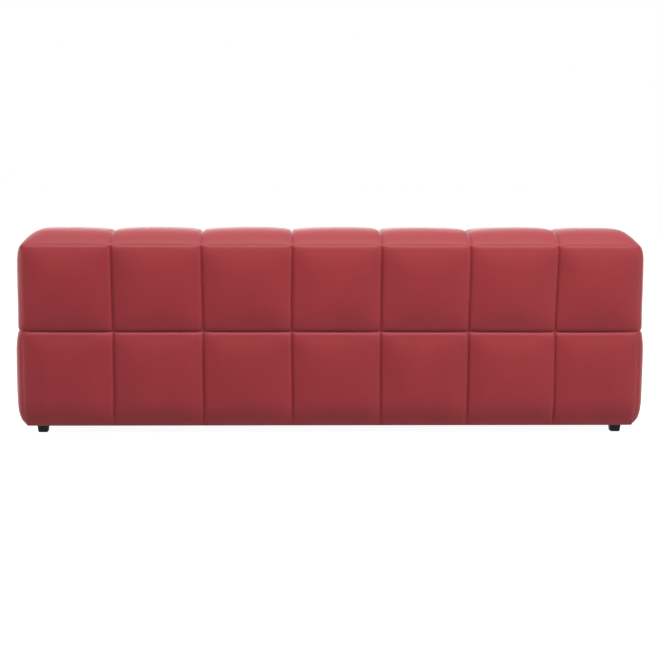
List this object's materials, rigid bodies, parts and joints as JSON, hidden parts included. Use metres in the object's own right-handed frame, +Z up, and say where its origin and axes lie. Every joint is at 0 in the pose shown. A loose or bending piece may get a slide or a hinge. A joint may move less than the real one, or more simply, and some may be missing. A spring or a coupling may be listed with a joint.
{
  "type": "modular sofa",
  "caption": "Low velvet modular sofa with square tufts: a seat block, a full-width back and two box arms that hook onto it, on short tapered feet.",
  "frame": {"origin": "on the floor, under the middle of the sofa's bounding box", "axes": "+X along the sofa's length, -Y out of the front of the seat, +Z up"},
  "size_m": [2.3474, 0.9854, 0.7726],
  "materials": {
    "dusty_red_velvet": "short dusty red velvet pile, quilted over wadding in square tufts",
    "pine": "planed softwood",
    "plywood": "birch-faced plywood with sanded edges",
    "hardboard": "pressed brown fibreboard",
    "spring_steel": "drawn spring wire with a dull oiled surface",
    "zinc_steel": "pressed and turned steel, zinc plated",
    "paper_wrapped_wire": "brown kraft paper twisted over wire",
    "grey_felt": "needled felt of recycled fibre",
    "cushion_foam": "open-cell seating foam, off-white",
    "black_dust_cloth": "thin non-woven black cloth",
    "elastic_webbing": "woven elastic strap",
    "black_plastic": "moulded black plastic with a fine satin grain"
  },
  "bodies": {
    "seat_module": {"seat_cover": "dusty_red_velvet", "seat_front_rail": "pine", "seat_rear_rail": "pine", "seat_end_rails": "pine", "seat_cross_rails": "pine", "seat_corner_blocks": "pine", "seat_springs": "spring_steel", "spring_clips": "zinc_steel", "spring_tie_wires": "paper_wrapped_wire", "spring_felt": "grey_felt", "seat_foam": "cushion_foam", "seat_dust_cover": "black_dust_cloth", "seat_feet": "black_plastic", "seat_foot_studs": "zinc_steel", "seat_foot_nuts": "zinc_steel", "hook_receivers": "zinc_steel", "receiver_screws": "zinc_steel"},
    "back_module": {"back_cover": "dusty_red_velvet", "back_rails": "pine", "back_ribs": "plywood", "back_board": "hardboard", "back_hook_board": "pine", "back_spacers": "pine", "back_foot_blocks": "pine", "back_webbing": "elastic_webbing", "back_foam": "cushion_foam", "back_top_foam": "cushion_foam", "back_dust_cover": "black_dust_cloth", "back_feet": "black_plastic", "back_foot_studs": "zinc_steel", "back_foot_nuts": "zinc_steel", "back_hooks": "zinc_steel", "back_hook_screws": "zinc_steel"},
    "left_arm_module": {"left_arm_cover": "dusty_red_velvet", "left_arm_panels": "plywood", "left_arm_top_board": "plywood", "left_arm_hook_rail": "pine", "left_arm_foot_blocks": "pine", "left_arm_foam": "cushion_foam", "left_arm_dust_cover": "black_dust_cloth", "left_arm_feet": "black_plastic", "left_arm_foot_studs": "zinc_steel", "left_arm_foot_nuts": "zinc_steel", "left_arm_hooks": "zinc_steel", "left_arm_hook_screws": "zinc_steel"},
    "right_arm_module": {"right_arm_cover": "dusty_red_velvet", "right_arm_panels": "plywood", "right_arm_top_board": "plywood", "right_arm_hook_rail": "pine", "right_arm_foot_blocks": "pine", "right_arm_foam": "cushion_foam", "right_arm_dust_cover": "black_dust_cloth", "right_arm_feet": "black_plastic", "right_arm_foot_studs": "zinc_steel", "right_arm_foot_nuts": "zinc_steel", "right_arm_hooks": "zinc_steel", "right_arm_hook_screws": "zinc_steel"}
  },
  "joints": [
    {"name": "back_lift", "type": "slide", "parent": "seat_module", "child": "back_module", "axis": [0, 0, 1], "range_m": [0, 0.06]},
    {"name": "left_arm_lift", "type": "slide", "parent": "seat_module", "child": "left_arm_module", "axis": [0, 0, 1], "range_m": [0, 0.06]},
    {"name": "right_arm_lift", "type": "slide", "parent": "seat_module", "child": "right_arm_module", "axis": [0, 0, 1], "range_m": [0, 0.06]}
  ]
}
